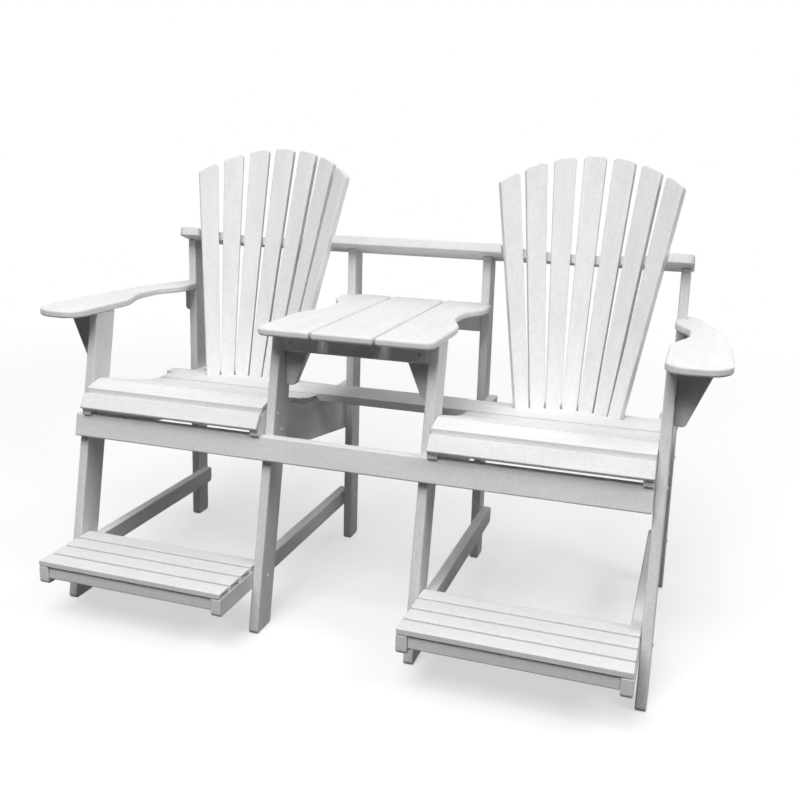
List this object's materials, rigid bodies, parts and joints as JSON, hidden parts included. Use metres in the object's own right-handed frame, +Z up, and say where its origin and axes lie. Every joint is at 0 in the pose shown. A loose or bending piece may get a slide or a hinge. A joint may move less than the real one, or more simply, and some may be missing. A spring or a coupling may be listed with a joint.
{
  "type": "adirondack loveseat",
  "caption": "Tall Adirondack loveseat in white plastic lumber: fan-back seats with dished slats and footrests, joined by a shared table and a top rail.",
  "frame": {"origin": "on the floor, under the middle of the whole object's width and depth", "axes": "+X to the right as seen from the front, along the stretcher; +Y to the rear, so the sitters face -Y; +Z up"},
  "size_m": [1.93, 1.0492, 1.3335],
  "materials": {
    "white_lumber": "satin, with a fine brushed grain along each board",
    "white_lumber_frame": "satin, with a fine brushed grain along each board"
  },
  "bodies": {
    "root": {"front_leg_inner_left": "white_lumber_frame", "rear_post_inner_left": "white_lumber_frame", "seat_rail_inner_left": "white_lumber", "front_leg_outer_left": "white_lumber_frame", "rear_post_outer_left": "white_lumber_frame", "seat_rail_outer_left": "white_lumber", "footrest_left": "white_lumber", "seat_nose_left": "white_lumber", "seat_slat_left_1": "white_lumber", "seat_slat_left_2": "white_lumber", "seat_slat_left_3": "white_lumber", "seat_slat_left_4": "white_lumber", "seat_slat_left_5": "white_lumber", "seat_slat_left_6": "white_lumber", "lower_back_batten_left": "white_lumber", "back_slat_left_1": "white_lumber", "back_slat_left_2": "white_lumber", "back_slat_left_3": "white_lumber", "back_slat_left_4": "white_lumber", "back_slat_left_5": "white_lumber", "back_slat_left_6": "white_lumber", "back_slat_left_7": "white_lumber", "arm_left": "white_lumber", "arm_cleat_left": "white_lumber", "arm_gusset_left": "white_lumber_frame", "table_gusset_left": "white_lumber_frame", "table_plank_left": "white_lumber", "front_leg_inner_right": "white_lumber_frame", "rear_post_inner_right": "white_lumber_frame", "seat_rail_inner_right": "white_lumber", "front_leg_outer_right": "white_lumber_frame", "rear_post_outer_right": "white_lumber_frame", "seat_rail_outer_right": "white_lumber", "footrest_right": "white_lumber", "seat_nose_right": "white_lumber", "seat_slat_right_1": "white_lumber", "seat_slat_right_2": "white_lumber", "seat_slat_right_3": "white_lumber", "seat_slat_right_4": "white_lumber", "seat_slat_right_5": "white_lumber", "seat_slat_right_6": "white_lumber", "lower_back_batten_right": "white_lumber", "back_slat_right_1": "white_lumber", "back_slat_right_2": "white_lumber", "back_slat_right_3": "white_lumber", "back_slat_right_4": "white_lumber", "back_slat_right_5": "white_lumber", "back_slat_right_6": "white_lumber", "back_slat_right_7": "white_lumber", "arm_right": "white_lumber", "arm_cleat_right": "white_lumber", "arm_gusset_right": "white_lumber_frame", "table_gusset_right": "white_lumber_frame", "table_plank_right": "white_lumber", "front_stretcher": "white_lumber", "seat_board": "white_lumber", "top_rail": "white_lumber", "table_plank_middle": "white_lumber", "table_front_apron": "white_lumber", "table_rear_apron": "white_lumber"}
  },
  "joints": []
}
